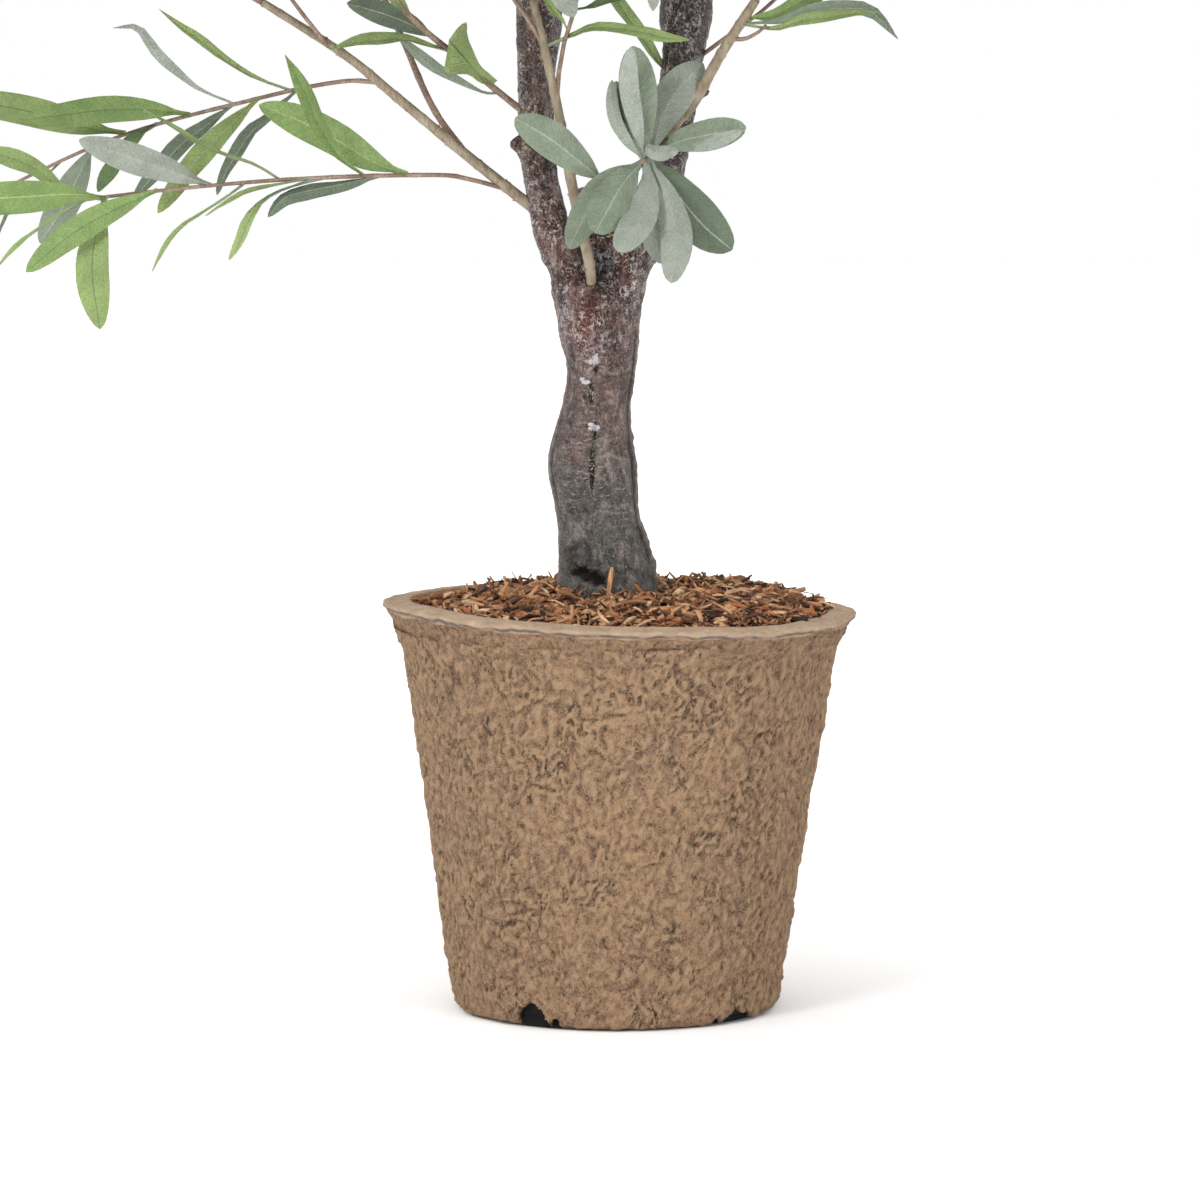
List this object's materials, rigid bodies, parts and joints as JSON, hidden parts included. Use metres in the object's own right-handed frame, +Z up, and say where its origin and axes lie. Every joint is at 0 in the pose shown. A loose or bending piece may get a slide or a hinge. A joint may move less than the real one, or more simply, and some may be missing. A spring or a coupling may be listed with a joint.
{
  "type": "potted artificial olive tree",
  "caption": "Artificial olive tree: forked moulded trunk, upright boughs and leafy wired sprays, standing in bark mulch in a flared pulp-fibre pot.",
  "frame": {"origin": "centre of the pot's flat underside, on the ground plane", "axes": "+Z up along the trunk; the side with the low left-hand sprays and the front notch faces -Y; +X to the tree's right as seen from there"},
  "size_m": [0.9543, 0.7875, 1.4999],
  "materials": {
    "pot_pulp": "rough pressed pulp fibre, matt brown",
    "ballast_cement": "plain cast cement",
    "bark_mulch": "shredded bark, matt",
    "trunk_bark": "moulded bark texture, low sheen, grey-brown with pale flecks",
    "stem_plastic": "moulded plastic over wire, olive-brown",
    "leaf_fabric": "woven leaf cloth, yellow-green above and silvery sage below"
  },
  "bodies": {
    "root": {"ballast": "ballast_cement", "bough_back": "trunk_bark", "bough_front": "trunk_bark", "leader": "trunk_bark", "limb_left": "trunk_bark", "limb_right": "trunk_bark", "mulch": "bark_mulch", "pot": "pot_pulp", "spray_back": "leaf_fabric", "spray_back_high": "leaf_fabric", "spray_back_left": "leaf_fabric", "spray_centre": "leaf_fabric", "spray_front": "leaf_fabric", "spray_front_high": "leaf_fabric", "spray_front_left": "leaf_fabric", "spray_front_right": "leaf_fabric", "spray_left": "leaf_fabric", "spray_left_back": "leaf_fabric", "spray_left_front": "leaf_fabric", "spray_left_high": "leaf_fabric", "spray_left_top": "leaf_fabric", "spray_low_left_back": "leaf_fabric", "spray_low_left_front": "leaf_fabric", "spray_low_right": "leaf_fabric", "spray_mid_back_left": "leaf_fabric", "spray_mid_back_right": "leaf_fabric", "spray_mid_front_left": "leaf_fabric", "spray_mid_front_right": "leaf_fabric", "spray_right": "leaf_fabric", "spray_right_back": "leaf_fabric", "spray_right_high": "leaf_fabric", "spray_right_top": "leaf_fabric", "spray_rosette": "leaf_fabric", "spray_top": "leaf_fabric", "spray_top_back": "leaf_fabric", "spray_top_front": "leaf_fabric", "stem_centre": "stem_plastic", "stem_left": "stem_plastic", "stem_right": "stem_plastic", "trunk": "trunk_bark"}
  },
  "joints": []
}
